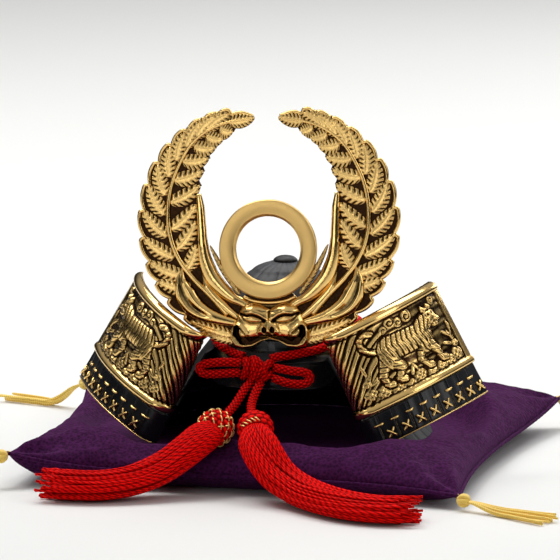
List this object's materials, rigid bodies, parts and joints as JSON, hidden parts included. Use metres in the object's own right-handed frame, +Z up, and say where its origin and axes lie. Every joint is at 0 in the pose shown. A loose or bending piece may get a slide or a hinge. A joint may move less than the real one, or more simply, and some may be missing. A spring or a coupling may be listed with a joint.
{
  "type": "kabuto samurai helmet ornament on a cushion",
  "caption": "Small display kabuto with gilt fern crest, ring and lion face, turned-back gilt panels, black neck guard and red tasselled cord, on a purple cushion with yellow corner tassels.",
  "frame": {"origin": "a point on the flat underside of the cushion, straight under the axis of the helmet bowl", "axes": "+Z up; -Y is the front, where the crest and the bow face; +X is to the right of a viewer in front"},
  "size_m": [0.2701, 0.244, 0.139],
  "materials": {
    "gold": "polished",
    "satin_gold": "satin",
    "black_lacquer": "gloss",
    "dull_iron": "satin",
    "purple_cloth": "crepe weave",
    "red_silk": "braided",
    "yellow_silk": "twisted"
  },
  "bodies": {
    "root": {"cushion": "purple_cloth", "cushion_tassel_front_left": "yellow_silk", "cushion_tassel_front_right": "yellow_silk", "cushion_tassel_back_right": "yellow_silk", "cushion_tassel_back_left": "yellow_silk", "bowl": "black_lacquer", "crown_knob": "black_lacquer", "waist_band": "black_lacquer", "visor": "black_lacquer", "turnback_panel_right": "gold", "turnback_panel_left": "gold", "turnback_band_right": "black_lacquer", "turnback_band_left": "black_lacquer", "neck_lame_1": "black_lacquer", "neck_lame_2": "black_lacquer", "neck_lame_3": "black_lacquer", "crest_fronds": "gold", "crest_ring": "satin_gold", "crest_face": "gold", "crest_prong": "dull_iron", "chin_cord": "red_silk", "bow_loop_left": "red_silk", "bow_loop_right": "red_silk", "cord_tail_left": "red_silk", "cord_tail_right": "red_silk", "bow_knot": "red_silk", "tassel_left": "red_silk", "tassel_right": "red_silk"}
  },
  "joints": []
}
